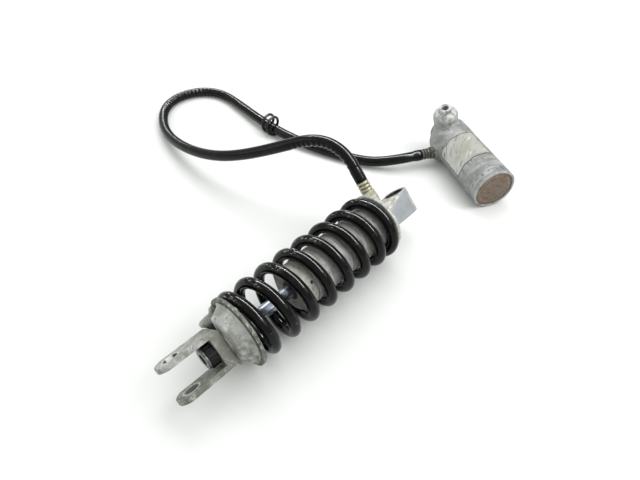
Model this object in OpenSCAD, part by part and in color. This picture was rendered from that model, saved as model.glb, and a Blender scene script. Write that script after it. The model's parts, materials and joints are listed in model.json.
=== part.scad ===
// Rear shock absorber with a coil spring, a hose and a separate oil reservoir, lying on its side.
// Origin at the centre of the upper eye, X along the shock towards the eye, Z up. Millimetres.
// Pieces of the shock are drawn along z with the fork bolt at zero, then laid onto the shock axis.

/* [Overall] */
// Distance from the fork bolt to the upper eye
eye_to_eye = 276; // [270:1:296]
// Travel of the rod
stroke = 48; // [40:1:51]
// Turn of the fork bolt and the eye about the shock axis
roll = 46; // [36:1:56]

/* [Spring] */
// Outer diameter of the spring
spring_od = 70; // [68:0.5:74]
// Diameter of the spring wire
wire_d = 10.5; // [9:0.25:11]
// Turns of the spring from end to end
spring_turns = 8.2; // [7.2:0.1:8.4]
// Angle at which the wire starts
spring_start = -150; // [-180:5:180]

/* [Fork] */
// Space between the two ears
fork_gap = 25.5; // [24:0.5:30]
// Thickness of an ear
ear_t = 5; // [4:0.25:8]
// Width of an ear
ear_w = 25; // [22:0.5:27]
// From the bolt to the tip of an ear
ear_tip = 14; // [13:0.5:16]
// Diameter of the bolt hole
pin_d = 12; // [10:0.5:14]
// Diameter of the faced ring around the bolt hole
spot_d = 16.5; // [15.5:0.5:20]
// From the bolt to the bottom of the gap
fork_depth = 30; // [28:0.5:33]
// Thickness of the fork under the gap
fork_base = 10; // [9:0.5:12]

/* [Dial] */
// Diameter of the damping dial
dial_d = 22; // [19:0.5:23]
// Length of the grip
dial_len = 8; // [6:0.5:9]
// Thickness of the metal ring on the dial
dial_ring_t = 2; // [1.5:0.25:3]
// Number of grip grooves
dial_grooves = 14; // [8:1:18]

/* [Spring seat] */
// Height of the seat
seat_h = 14.5; // [13.5:0.5:16]
// Diameter of the seat's lip
seat_d = 62.5; // [60:0.5:66]
// Diameter of the seat at its shoulder
seat_base_d = 49; // [46:0.5:52]
// Width of the slot in the seat
seat_slot = 14; // [13.5:0.25:16]
// Turn of the slot about the shock axis
slot_roll = 32; // [20:1:60]
// Thickness of the ring under the spring
pad_t = 2.75; // [2:0.25:4]
// Step from the outside of the spring in to its ring
pad_step = 0.5; // [0:0.25:2]
// Step from the inside of the spring in to the bore of its ring
pad_lip = 1.5; // [1:0.25:3]

/* [Damper] */
// Diameter of the bump rubber
bump_d = 33; // [28:0.5:36]
// Diameter of the rod
rod_d = 12.5; // [12:0.5:13]
// Room between the inside of the spring and the damper tube
tube_room = 1.5; // [1:0.25:3]
// Wall of the damper tube
tube_wall = 3; // [2.5:0.25:3.5]
// Length of the damper that is not travel
dead_len = 69.25; // [68:0.25:74]
// Step from the damper tube in to the collar at its lower end
collar_step = 0.75; // [0:0.25:2]
// Length of the collar
collar_len = 16; // [15:0.5:18]
// Diameter of the pin hole in the collar
collar_hole_d = 3.5; // [2.5:0.25:4.5]
// Length of the rod guide
guide_len = 15; // [13:0.5:16]
// Height of the piston
piston_h = 10; // [9:0.5:11]
// Height of the nut on the piston
nut_h = 6; // [5:0.5:7]

/* [Head] */
// From the spring face of the flange to the eye
head_len = 42.75; // [41:0.25:46]
// Diameter of the flange
flange_d = 64; // [62:0.5:67]
// Thickness of the flange
flange_t = 4.5; // [3.5:0.25:5.5]
// Outer diameter of the eye
eye_d = 28; // [27.5:0.25:32]
// Diameter of the round neck between the flange and the eye
neck_d = 29; // [28:0.5:31]
// Width of the eye along its bore
eye_w = 26.5; // [24:0.5:30]
// Bore of the eye
eye_bore = 22; // [20.5:0.25:22.5]
// Inner diameter of the bush in the eye
bush_bore = 17; // [15:0.5:17.5]
// Depth of the hose port's face below the rim of the flange
port_drop = 6; // [4:0.5:7]

/* [Hose] */
// Outer diameter of the hose
hose_d = 12.5; // [11.5:0.25:13]
// Bore of the hose
hose_bore = 6; // [5:0.25:7]
// Length of the hexagon on a union
union_len = 6; // [5.5:0.5:8]
// Width across the flats of a union
union_af = 13; // [12.5:0.5:14]
// Length of a crimped ferrule
ferrule_len = 11.5; // [11:0.5:14]
// Diameter of a crimped ferrule
ferrule_d = 13.5; // [13:0.25:15]
// Height of the ribs that the bends show
rib_h = 0.5; // [0.3:0.1:0.8]
// Diameter of the wire of the tie
tie_wire = 3; // [2.4:0.1:3.4]
// Diameter of the loops of the tie
tie_d = 26; // [24:0.5:28]

/* [Reservoir] */
// Outer diameter of the reservoir
res_d = 50; // [48:0.5:52]
// Wall of the reservoir
res_wall = 2.6; // [2.4:0.1:3]
// Length of the round part
res_len = 115; // [108:1:120]
// Place of the open end along the shock axis
res_x = 103; // [95:1:115]
// Place of the open end across the shock axis
res_y = -57; // [-65:1:-50]
// Turn of the reservoir on the table
res_turn = 62; // [56:1:66]
// Length of the cast end of the round part
cast_len = 31; // [29:0.5:36]
// Height of the step from the turned part to the cast end
cast_step = 0.3; // [0.2:0.05:0.6]
// From the middle of the boss to the far end of the round part
boss_back = 2; // [0:0.5:8]
// Lean of the boss from upright
boss_lean = 15; // [5:1:20]
// From the reservoir axis to the top of the boss
boss_h = 42.5; // [41:0.5:46]
// Diameter of the boss
boss_d = 16; // [15:0.5:20]
// Diameter of the hole in the boss
boss_hole_d = 8.5; // [7:0.25:9]
// Diameter of the block below the boss
block_d = 30; // [26:0.5:32]
// Depth of the cover disc in the open end
cover_in = 1.4; // [1:0.1:2]
// Thickness of the bladder cap
cap_t = 10.4; // [10:0.2:13]
// Wall of the bladder
bladder_wall = 1.7; // [1.2:0.1:2.5]
// From the end of the bladder to the far end of the round part
bladder_back = 35; // [30:1:45]

/* [Hidden] */
$fn = 64;

// Play between pieces that fit into each other, and between pieces that move
fit = 0.02;
run = 0.05;

// Stations along the shock, from the fork bolt
rod_r = rod_d / 2;
coil_in_r = spring_od / 2 - wire_d;
tube_r = coil_in_r - tube_room;
bore_r = tube_r - tube_wall;
at_seat = fork_depth + fork_base;
at_pad = at_seat + seat_h;
at_spring = at_pad + pad_t;
at_flange = eye_to_eye - head_len;
at_lower = at_flange - stroke - dead_len;
at_tube = at_lower + collar_len;
at_guide = at_tube + 4;
at_guide_top = at_guide + guide_len;
at_stop = at_guide_top + 2;
at_shims = at_stop + 3;
at_piston = at_shims + 2;
band_low = at_piston + 0.2 * piston_h;
band_high = at_piston + 0.8 * piston_h;
at_shims_top = at_piston + piston_h;
at_nut = at_shims_top + 2;
at_rod_end = at_nut + nut_h + 1;
at_dial = fork_depth - 0.5 - dial_len;
at_ring = at_dial - dial_ring_t;
at_port = at_flange + flange_t + union_af / 2 + 2.4;
port_h = flange_d / 2 - port_drop;
nut_top = at_seat + 7;
washer_top = nut_top + 2;
bump_top = at_lower - stroke - 2;

// Stations along the reservoir, from its open end
boss_at = res_len - boss_back;
cover_end = cover_in + 2.2;
snap_at = cover_end + 0.4;
snap_t = 1.6;
cap_at = snap_at + snap_t;
cap_end = cap_at + cap_t;
cap_floor = cap_at + cap_t * 0.42;
groove_at = cap_floor + cap_t * 0.02;
bladder_end = res_len - bladder_back;
barrel_end = res_len - cast_len;

// The spring's wire
spring_r = (spring_od - wire_d) / 2;
coil_low = at_spring + wire_d / 2;
coil_high = at_flange - wire_d / 2;
coil_pitch = (coil_high - coil_low) / (spring_turns - 1);
coil_steps = 22;
coil_last = floor(spring_turns * coil_steps);
function rise(t) = t < 0.25 ? 0 : t < 0.75 ? (t - 0.25) * (t - 0.25) : t - 0.5;
function coil_z(t) = t < spring_turns / 2 ? coil_low + coil_pitch * rise(t)
    : coil_high - coil_pitch * rise(spring_turns - t);
function coil_side(t) = [-cos(spring_start - 360 * t), sin(spring_start - 360 * t), 0];
coil_t = [for (i = [0:coil_last]) i * spring_turns / coil_last];
coil_c = [for (t = coil_t) spring_r * coil_side(t) + [0, 0, coil_z(t)]];
coil_n = [for (t = coil_t) coil_side(t)];
coil_gap = min([for (i = [0:coil_last]) for (k = [-3:3])
    let (j = i + round(coil_last / spring_turns) + k)
    if (j <= coil_last) norm(coil_c[j] - coil_c[i])]) - wire_d;
echo(spring_least_gap = coil_gap);

// The hose runs from the head to the reservoir
head_dir = [0, cos(roll), sin(roll)];
head_root = [at_port - eye_to_eye, 0, 0] + port_h * head_dir;
head_end = head_root + (union_len + ferrule_len) * head_dir;
function res_point(along, left, up) = [
    res_x + along * cos(res_turn) - left * sin(res_turn),
    res_y + along * sin(res_turn) + left * cos(res_turn),
    (res_d - spring_od) / 2 + cast_step + up];
port_at = res_len - 19;
port_left = res_d / 2 + 1.5;
port_up = -10;
port_turn = res_turn + 90;
res_dir = [cos(port_turn), sin(port_turn), 0];
res_root = res_point(port_at, port_left, port_up);
res_end = res_root + (union_len + ferrule_len) * res_dir;

// Points that lead the hose up over the spring, down to the table and round to the reservoir
low = (hose_d - spring_od) / 2 + 0.5;
lead = concat([for (k = [-1:2]) head_end + k * hose_d * head_dir], [
    [-30.6, 59.8, 56.7], [-34.4, 75.8, 60.2], [-41, 93, 57.2], [-50.5, 111.5, 47.8], [-66, 138.5, 32.7],
    [-86, 190, 7], [-92, 250, -11], [-87, 304, -23], [-75, 344, low], [-58, 371.5, low], [-40, 388.5, low],
    [-17, 396, low], [7.5, 392, low], [27, 376.5, low], [36.5, 354, low], [36, 326, low], [31, 289, low + 1.5],
    [24.5, 236, low + 4], [29, 190, low + 1.5], [42.5, 142, low], [57, 102, low], [66, 84, low + 2.5],
    [76.5, 70.5, low + 6]], [for (k = [2:-1:-1]) res_end + k * hose_d * res_dir]);
ribbed = [1, 2, 3, 4, 5, 9, 10, 11, 12, 13, 14, 15, 16, 17];
rib_pitch = 5;
tied = 20;
function unit(v) = v / norm(v);
function route_at(i, t) = let (s = 1 - t, u = t * t, w = t * t * t)
    (s * s * s * lead[i] + (3 * w - 6 * u + 4) * lead[i + 1]
    + (3 * u - 3 * w + 3 * t + 1) * lead[i + 2] + w * lead[i + 3]) / 6;
function has(list, i) = len([for (k = list) if (k == i) k]) > 0;
function span(i) = norm(route_at(i, 1) - route_at(i, 0));
function ribs(i) = has(ribbed, i) ? floor(span(i) / rib_pitch) : 0;
function steps(i) = ribs(i) > 0 ? 2 * ribs(i) : max(1, round(span(i) / 16));
route_last = len(lead) - 4;
hose_s = concat([for (i = [0:route_last]) for (j = [0:steps(i) - 1])
    [i, j / steps(i), hose_d / 2 - (ribs(i) > 0 && j % 2 == 1 ? rib_h : 0)]],
    [[route_last, 1, hose_d / 2]]);
hose_c = [for (s = hose_s) route_at(s[0], s[1])];
hose_r = [for (s = hose_s) s[2]];
hose_n = [for (s = hose_s) [0, 0, 1]];
inner_s = concat([for (i = [0:route_last]) for (j = [0:1]) [i, j / 2]], [[route_last, 1]]);
inner_c = [for (s = inner_s) route_at(s[0], s[1])];
inner_r = [for (s = inner_s) hose_bore / 2];
inner_n = [for (s = inner_s) [0, 0, 1]];
hose_gap = min([for (i = [0:3:len(hose_c) - 1]) for (j = [i:3:len(hose_c) - 1])
    if (hose_s[j][0] - hose_s[i][0] > 5) norm(hose_c[j] - hose_c[i])]) - hose_d;
echo(hose_least_gap = hose_gap, hose_rings = len(hose_c));

// The tie stands in two loose loops around the hose
tie_at = route_at(tied, 0);
tie_dir = unit(lead[tied + 2] - lead[tied]);
tie_side = unit(cross([0, 0, 1], tie_dir));
tie_up = unit(cross(tie_dir, tie_side));
tie_r = (tie_d - tie_wire) / 2;
tie_lift = tie_d / 2 + 0.1 - tie_at[2] - spring_od / 2;
tie_t = [for (i = [-1:25]) i / 12];
tie_n = [for (t = tie_t) -cos(360 * t) * tie_up + sin(360 * t) * tie_side];
tie_c = [for (i = [0:len(tie_t) - 1]) tie_at + [0, 0, tie_lift] + tie_r * tie_n[i]
    + (tie_t[i] - 1) * 9 * tie_dir];

// Rings of points around a line of centres, and the faces between them
function heading(c, i) = unit(c[min(i + 1, len(c) - 1)] - c[max(i - 1, 0)]);
function rings(c, n, r, m) = [for (i = [0:len(c) - 1])
    let (t = heading(c, i), s = unit(n[i] - t * (n[i] * t)), b = cross(t, s))
    for (j = [0:m - 1]) c[i] + r[i] * (cos(360 * j / m) * s + sin(360 * j / m) * b)];
function outside(n, m) = [for (i = [0:n - 2]) for (j = [0:m - 1])
    let (a = i * m + j, b = i * m + (j + 1) % m)
    for (f = [[a, a + m, b + m], [a, b + m, b]]) f];
function inside(n, m, k) = [for (f = outside(n, m)) [f[0] + k, f[2] + k, f[1] + k]];
function hoop(o, i, m) = [for (j = [0:m - 1]) let (q = (j + 1) % m)
    for (f = [[o + j, o + q, i + q], [o + j, i + q, i + j]]) f];
function turned(faces) = [for (f = faces) [f[0], f[2], f[1]]];
function full(n, v) = [for (i = [1:n]) v];

module rod_tube(c, n, r, m) {
    k = len(c);
    polyhedron(rings(c, n, full(k, r), m), concat(outside(k, m),
        [[for (j = [0:m - 1]) j], [for (j = [m - 1:-1:0]) (k - 1) * m + j]]), convexity = 10);
}
module shock() translate([-eye_to_eye, 0, 0]) rotate([0, 90, 0]) children();
module rolled() shock() rotate([0, 0, roll]) children();
module turn(points) rotate_extrude() polygon(points);
module ring(r0, r1, z0, z1) turn([[r0, z0], [r1, z0], [r1, z1], [r0, z1]]);
module across(z, r, l) translate([0, 0, z]) rotate([90, 0, 0]) cylinder(r = r, h = l, center = true);
module bar(l) rotate([90, 0, 0]) linear_extrude(height = l, center = true) children();
module lying() translate(res_point(0, 0, 0)) rotate([0, 0, res_turn]) rotate([0, 90, 0]) children();
module upright(z) translate([0, 0, z]) rotate([0, 0, -boss_lean]) rotate([0, -90, 0]) children();
module head_port() translate(head_root) rotate([roll - 90, 0, 0]) children();
module res_port() translate(res_root) rotate([0, 90, port_turn]) children();
module hexagon(af, h) rotate([0, 0, 30]) cylinder(r = af / 2 / cos(30), h = h, $fn = 6);

// Head with its flange, neck, eye and hose port
eye_r = eye_d / 2;
neck_top = at_flange + flange_t;
neck_r = neck_d / 2;
neck_fillet = 12;
module eye_outline() {
    translate([0, eye_to_eye]) circle(r = eye_r);
    translate([-eye_r, neck_top]) square([2 * eye_r, eye_to_eye - neck_top]);
}
module eye_blank() {
    turn([[0, neck_top], [neck_r, neck_top], [neck_r, eye_to_eye - 1.6 * eye_r],
        [neck_r + 2.4, eye_to_eye - 0.5 * eye_r], [neck_r + 4.8, eye_to_eye + 0.2 * eye_r],
        [neck_r + 5.5, eye_to_eye + 1.1 * eye_r], [0, eye_to_eye + 1.1 * eye_r]]);
    translate([-2 * eye_r, -eye_w, neck_top]) cube([4 * eye_r, eye_w, eye_to_eye]);
}
module neck() turn(concat([[0, at_flange - 6], [bore_r - fit, at_flange - 6], [bore_r - fit, at_flange],
    [flange_d / 2 - 0.8, at_flange], [flange_d / 2, at_flange + 0.8], [flange_d / 2, neck_top - 0.8],
    [flange_d / 2 - 0.8, neck_top]],
    [for (a = [0:15:90]) [neck_r + neck_fillet * (1 - sin(a)), neck_top + neck_fillet * (1 - cos(a))]],
    [[neck_r, eye_to_eye - 1.5 * eye_r], [0, eye_to_eye - 1.5 * eye_r]]));
module shock_head() color([0.72, 0.74, 0.76]) difference() {
    union() {
        shock() neck();
        rolled() intersection() {
            bar(eye_w) eye_outline();
            eye_blank();
        }
        head_port() translate([0, 0, -port_h]) cylinder(r = 8, h = port_h);
    }
    rolled() across(eye_to_eye, eye_bore / 2, eye_w + 20);
    head_port() translate([0, 0, -port_h]) cylinder(r = hose_bore / 2, h = port_h + 1);
    shock() translate([0, 0, at_flange - 7]) cylinder(r = 8, h = at_port - at_flange + 11);
}
seal_t = 3;
module eye_bush() color([0.5, 0.5, 0.52]) rolled() difference() {
    across(eye_to_eye, eye_bore / 2 - fit, eye_w - 2 * seal_t);
    across(eye_to_eye, bush_bore / 2, eye_w);
}
module eye_seals() color([0.08, 0.08, 0.08]) rolled() difference() {
    across(eye_to_eye, eye_bore / 2 - fit, eye_w - 1);
    across(eye_to_eye, eye_bore / 2 + 1, eye_w - 2 * seal_t + 0.1);
    across(eye_to_eye, bush_bore / 2 + 0.6, eye_w + 1);
}

// Damper tube with the pieces that close its lower end
module damper_tube() color([0.62, 0.63, 0.63]) shock() turn([[bore_r, at_tube], [tube_r - 0.8, at_tube],
    [tube_r, at_tube + 0.8], [tube_r, at_flange], [bore_r, at_flange]]);
collar_r = tube_r - collar_step;
module collar() color([0.70, 0.69, 0.65]) difference() {
    shock() turn([[rod_r + 3.4, at_lower], [collar_r - 1.5, at_lower], [collar_r, at_lower + 1.5],
        [collar_r, at_tube - 1.6], [collar_r - 1.2, at_tube - 1.2], [collar_r - 1.2, at_tube],
        [bore_r - fit, at_tube], [bore_r - fit, at_guide], [rod_r + 1, at_guide],
        [rod_r + 1, at_lower + 6], [rod_r + 3.4, at_lower + 6]]);
    rolled() translate([0, 0, at_tube - 4]) rotate([0, -90, 0]) translate([0, 0, collar_r - 5])
        cylinder(r = collar_hole_d / 2, h = 10);
}
module wiper() color([0.07, 0.07, 0.07]) shock() turn([[rod_r + 0.3, at_lower - 0.6],
    [rod_r + 1.2, at_lower - 0.6], [rod_r + 2.2, at_lower], [rod_r + 3.4 - fit, at_lower],
    [rod_r + 3.4 - fit, at_lower + 6 - fit], [rod_r + 0.3, at_lower + 6 - fit]]);
module seal_head() color([0.60, 0.61, 0.63]) shock() turn([[rod_r + 4.2, at_guide + fit],
    [bore_r - fit, at_guide + fit], [bore_r - fit, at_guide + 5], [bore_r - 2.2, at_guide + 5],
    [bore_r - 2.2, at_guide + 8], [bore_r - fit, at_guide + 8], [bore_r - fit, at_guide_top],
    [rod_r + 1.5, at_guide_top], [rod_r + 1.5, at_guide + 5], [rod_r + 4.2, at_guide + 5]]);
module oil_seal() color([0.10, 0.09, 0.08]) shock() ring(rod_r + 0.3, rod_r + 4.2 - fit, at_guide + fit,
    at_guide + 5 - fit);
module guide_bush() color([0.62, 0.50, 0.30]) shock() ring(rod_r + run, rod_r + 1.5 - fit, at_guide + 5,
    at_guide_top);
module seal_o_ring() color([0.06, 0.06, 0.06]) shock() rotate_extrude()
    translate([bore_r - 1.15, at_guide + 6.5]) circle(r = 1);

// Spring, one unbroken wire
module spring() color([0.03, 0.03, 0.03]) shock() rod_tube(coil_c, coil_n, wire_d / 2, 10);

// Rod with the fork, the seat and the bump rubber
shank_r = 0.8 * rod_r;
module rod() color([0.85, 0.86, 0.88]) shock() turn([[2.2, fork_depth + 4], [rod_r, fork_depth + 4],
    [rod_r, at_stop], [shank_r, at_stop], [shank_r, at_rod_end], [2.2, at_rod_end]]);
fork_out = fork_gap / 2 + ear_t;
module fork_front() {
    translate([-fork_out, -20]) square([2 * fork_out, at_seat + 14]);
    translate([6 - fork_out, 0]) square([2 * fork_out - 12, at_seat]);
    for (s = [-1, 1]) translate([s * (fork_out - 6), at_seat - 6]) circle(r = 6);
}
module fork_side() intersection() {
    union() {
        circle(r = ear_tip);
        translate([-ear_w / 2, 0]) square([ear_w, at_seat]);
    }
    translate([-ear_w / 2, -20]) square([ear_w, at_seat + 20]);
}
module fork() color([0.60, 0.61, 0.60]) rolled() difference() {
    intersection() {
        rotate([90, 0, 90]) linear_extrude(height = ear_w + 2, center = true) fork_front();
        bar(2 * fork_out + 2) fork_side();
    }
    translate([-ear_w, -fork_gap / 2, -30]) cube([2 * ear_w, fork_gap, fork_depth + 30]);
    across(0, pin_d / 2, 100);
    across(0, spot_d / 2, fork_gap + 0.6);
    for (s = [-1, 1]) translate([0, s * (fork_out + 9.7), 0]) rotate([90, 0, 0])
        cylinder(r = spot_d / 2, h = 20, center = true);
    translate([0, 0, fork_depth - 1]) cylinder(r = rod_r + run, h = fork_base + 2);
    translate([0, 8.6, fork_depth - 1]) cylinder(r = 1.3, h = 7);
}
module lock_nut() color([0.45, 0.46, 0.46]) shock() translate([0, 0, at_seat]) difference() {
    hexagon(20, 7);
    translate([0, 0, -1]) cylinder(r = rod_r + fit, h = 9);
}
seat_r = seat_d / 2;
foot_r = seat_base_d / 2;
module slot_cheek() translate([seat_slot / 2 - 1, 0, 0]) rotate([90, 0, 90]) linear_extrude(height = 7)
    polygon([[foot_r - 3.5, at_seat - 1], [foot_r, at_seat - 1], [foot_r + 1.5, at_seat - 0.2],
        [foot_r + 2.5, at_seat + 1.2], [foot_r + 2.9, at_seat + 3], [foot_r + 2.9, at_seat + 5.5],
        [foot_r + 3.2, at_pad - 6.2], [seat_r - 1.6, at_pad - 4.8], [seat_r - 0.2, at_pad - 3.8],
        [seat_r + 0.5, at_pad - 2.4], [seat_r + 0.4, at_pad - 0.4], [foot_r - 3.5, at_pad - 0.4]]);
module spring_seat() color([0.62, 0.63, 0.62]) shock() rotate([0, 0, slot_roll]) difference() {
    union() {
        turn([[12.5, at_seat], [14, at_seat], [14, at_seat + 1], [foot_r - 3, at_seat + 1.4],
            [foot_r - 0.9, at_seat + 2.3], [foot_r, at_seat + 4.4], [seat_r - 2.6, at_pad - 2.4],
            [seat_r - 0.5, at_pad - 1.9], [seat_r, at_pad - 1.4], [seat_r, at_pad - 0.5],
            [seat_r - 0.5, at_pad], [foot_r - 3, at_pad], [foot_r - 4.5, at_seat + 5], [12.5, at_seat + 5]]);
        slot_cheek();
    }
    translate([-seat_slot / 2, 0, at_seat - 2]) cube([seat_slot, 50, seat_h + 3]);
}
module spring_pad() color([0.36, 0.38, 0.36]) shock() ring(coil_in_r - pad_lip,
    spring_od / 2 - pad_step, at_pad, at_spring);
module bump_washer() color([0.55, 0.56, 0.57]) shock() ring(rod_r + 0.1, bump_d / 2 + 1, nut_top, washer_top);
bump_r = bump_d / 2;
module bump_rubber() color([0.05, 0.05, 0.05]) shock() turn([[rod_r + 0.2, washer_top], [bump_r, washer_top],
    [bump_r, bump_top - 5], [bump_r - 3.5, bump_top], [rod_r + 0.2, bump_top]]);

// Piston and its pieces at the upper end of the rod
module stop_plate() color([0.5, 0.5, 0.52]) shock() ring(shank_r + fit, 0.65 * bore_r, at_stop,
    at_shims);
shim_r = [0.45 * bore_r, 0.575 * bore_r, 0.7 * bore_r];
module rebound_shims() color([0.7, 0.7, 0.72]) shock() turn([[shank_r + fit, at_shims], [shim_r[0], at_shims],
    [shim_r[0], at_shims + 0.7], [shim_r[1], at_shims + 0.7], [shim_r[1], at_shims + 1.4],
    [shim_r[2], at_shims + 1.4], [shim_r[2], at_piston], [shank_r + fit, at_piston]]);
band_r = bore_r - 1.6;
module piston() color([0.65, 0.66, 0.68]) shock() difference() {
    turn([[shank_r + fit, at_piston], [bore_r - 0.4, at_piston], [bore_r - 0.4, band_low],
        [band_r, band_low], [band_r, band_high], [bore_r - 0.4, band_high],
        [bore_r - 0.4, at_shims_top], [shank_r + fit, at_shims_top]]);
    for (a = [0:60:300]) rotate([0, 0, a]) translate([0.55 * bore_r, 0, at_piston - 1])
        cylinder(r = 0.09 * bore_r, h = piston_h + 2);
}
module piston_band() color([0.25, 0.22, 0.18]) shock() ring(band_r + fit, bore_r - run, band_low + fit,
    band_high - fit);
module compression_shims() color([0.7, 0.7, 0.72]) shock() turn([[shank_r + fit, at_shims_top],
    [shim_r[2], at_shims_top], [shim_r[2], at_shims_top + 0.7], [shim_r[1], at_shims_top + 0.7],
    [shim_r[1], at_shims_top + 1.4], [shim_r[0], at_shims_top + 1.4], [shim_r[0], at_nut],
    [shank_r + fit, at_nut]]);
module piston_nut() color([0.45, 0.46, 0.47]) shock() translate([0, 0, at_nut]) difference() {
    hexagon(3.2 * shank_r, nut_h);
    translate([0, 0, -1]) cylinder(r = shank_r + fit, h = nut_h + 2);
}

// Damping dial with its detent and the needle in the rod
module detent_ball() color([0.8, 0.8, 0.8]) rolled() translate([0, 8.6, fork_depth + 1.15]) sphere(r = 1.25);
module detent_spring() color([0.7, 0.7, 0.7]) rolled() translate([0, 8.6, fork_depth + 2.4]) difference() {
    cylinder(r = 1.2, h = 3.5);
    translate([0, 0, -1]) cylinder(r = 0.7, h = 6);
}
module dial() color([0.05, 0.05, 0.05]) shock() difference() {
    turn([[0, at_dial + 3], [5.2, at_dial + 3], [5.2, at_dial], [dial_d / 2 - 0.8, at_dial],
        [dial_d / 2, at_dial + 0.8], [dial_d / 2, at_dial + dial_len], [6.1, at_dial + dial_len],
        [6.1, fork_depth + 3.6], [0, fork_depth + 3.6]]);
    for (i = [1:dial_grooves]) rotate([0, 0, 360 * i / dial_grooves])
        translate([dial_d / 2 + 0.7, 0, at_dial + 1.2]) cylinder(r = 1.3, h = dial_len);
    translate([0, 0, at_dial + 4]) cylinder(r = 1.6, h = dial_len + 10);
}
module dial_ring() color([0.75, 0.75, 0.76]) shock() turn([[5.2, at_ring], [dial_d / 2 - 1.8, at_ring],
    [dial_d / 2 - 1, at_ring + 0.8], [dial_d / 2 - 1, at_dial], [5.2, at_dial]]);
module needle() color([0.7, 0.71, 0.72]) shock() turn([[0, at_dial + 4], [1.6 - fit, at_dial + 4],
    [1.6 - fit, at_piston], [0.8, band_high], [0, band_high]]);

// Hose with a union and a crimped ferrule at each end
module union_piece() difference() {
    union() {
        hexagon(union_af, union_len - 1);
        cylinder(r = union_af / 2 - 0.4, h = union_len);
    }
    translate([0, 0, -1]) cylinder(r = hose_bore / 2, h = union_len + 2);
}
fer_r = ferrule_d / 2;
module ferrule_piece() translate([0, 0, union_len]) turn(concat([[hose_bore / 2, 0], [fer_r - 0.9, 0]],
    [for (i = [0:3]) for (p = [[-0.9, 0.6], [0, 1.1], [0, 2.2], [-0.9, 2.7]])
        [fer_r + p[0], p[1] + i * (ferrule_len - 2.5) / 4 + 0.2]],
    [[fer_r - 0.9, ferrule_len - 1.4], [fer_r - 0.2, ferrule_len - 0.9], [fer_r - 0.2, ferrule_len],
    [hose_bore / 2, ferrule_len]]));
module head_union() color([0.70, 0.62, 0.38]) head_port() union_piece();
module head_ferrule() color([0.72, 0.66, 0.42]) head_port() ferrule_piece();
module reservoir_union() color([0.30, 0.31, 0.30]) res_port() union_piece();
module reservoir_ferrule() color([0.16, 0.17, 0.17]) res_port() ferrule_piece();
module hose() color([0.05, 0.05, 0.05]) {
    m = 8;
    n = len(hose_c);
    k = len(inner_c);
    polyhedron(concat(rings(hose_c, hose_n, hose_r, m), rings(inner_c, inner_n, inner_r, m)),
        concat(outside(n, m), inside(k, m, n * m), hoop(0, n * m, m),
        turned(hoop((n - 1) * m, (n + k - 1) * m, m))), convexity = 10);
}
module hose_tie() color([0.04, 0.04, 0.04]) rod_tube(tie_c, tie_n, tie_wire / 2, 8);

// Reservoir with the bladder and its cap
res_r = res_d / 2;
res_bore = res_r - res_wall;
cast_r = res_r + cast_step;
module reservoir() color([0.58, 0.60, 0.62]) difference() {
    union() {
        lying() turn(concat([[0, 0], [res_r - 0.6, 0], [res_r, 0.6], [res_r, barrel_end]],
            [[cast_r, barrel_end + cast_step], [cast_r, res_len - 6]],
            [for (a = [15:15:90]) [cast_r - 6 + 6 * cos(a), res_len - 6 + 6 * sin(a)]],
            [[17, res_len], [17, res_len + 10], [15, res_len + 12], [0, res_len + 12]]));
        lying() upright(boss_at) turn(concat([[0, 0], [block_d / 2, 0]],
            [for (a = [0:15:90]) [block_d / 2 - 6 + 6 * cos(a), boss_h - 11 + 6 * sin(a)]],
            [[boss_d / 2, boss_h - 5], [boss_d / 2, boss_h - 0.8], [boss_d / 2 - 0.8, boss_h], [0, boss_h]]));
        res_port() translate([0, 0, -16]) cylinder(r = 11, h = 12);
        res_port() translate([0, 0, -10]) cylinder(r = 8.5, h = 10);
    }
    lying() translate([0, 0, -1]) cylinder(r = res_bore, h = res_len - 14);
    lying() ring(res_bore - 1, res_bore + 1.2, snap_at, snap_at + snap_t);
    lying() upright(boss_at) translate([0, 0, boss_h - 18]) cylinder(r = boss_hole_d / 2, h = 20);
    res_port() translate([0, 0, -16]) cylinder(r = hose_bore / 2, h = 30);
}
cover_r = res_bore - fit;
module end_cover() color([0.42, 0.30, 0.26]) lying() turn([[0, cover_in], [cover_r - 1.6, cover_in],
    [cover_r - 1.1, cover_in - 0.6], [cover_r - 0.3, cover_in - 0.6], [cover_r, cover_in - 0.2],
    [cover_r, cover_end], [0, cover_end]]);
module snap_ring() color([0.35, 0.35, 0.36]) lying() difference() {
    ring(res_bore - 1.6, res_bore + 1.1, snap_at + 0.05, snap_at + snap_t - 0.05);
    translate([0, -res_d / 11, 0]) cube([res_d, res_d / 5.5, cap_at]);
}
module bladder_cap() color([0.60, 0.61, 0.62]) lying() turn([[8, cap_at], [res_bore - fit, cap_at],
    [res_bore - fit, groove_at], [res_bore - 2.2, groove_at], [res_bore - 2.2, groove_at + 3],
    [res_bore - fit, groove_at + 3], [res_bore - fit, cap_end], [4 + fit, cap_end], [4 + fit, cap_floor],
    [8, cap_floor]]);
module cap_o_ring() color([0.06, 0.06, 0.06]) lying() rotate_extrude()
    translate([res_bore - 1.15, groove_at + 1.5]) circle(r = 1);
module gas_valve() color([0.72, 0.64, 0.40]) lying() turn([[0, cap_at + 0.4], [2.6, cap_at + 0.4],
    [2.6, cap_floor], [4, cap_floor], [4, cap_end + 1], [0, cap_end + 1]]);
bag_r = res_bore - 3;
module bladder() color([0.07, 0.07, 0.07]) lying() turn([[4.2, cap_end], [bag_r, cap_end],
    [bag_r, bladder_end - bag_r / 2], [bag_r / 2, bladder_end], [0, bladder_end],
    [0, bladder_end - bladder_wall], [bag_r / 2 - bladder_wall / 2, bladder_end - bladder_wall],
    [bag_r - bladder_wall, bladder_end - bag_r / 2 - bladder_wall / 2],
    [bag_r - bladder_wall, cap_end + bladder_wall], [4.2, cap_end + bladder_wall]]);

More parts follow.
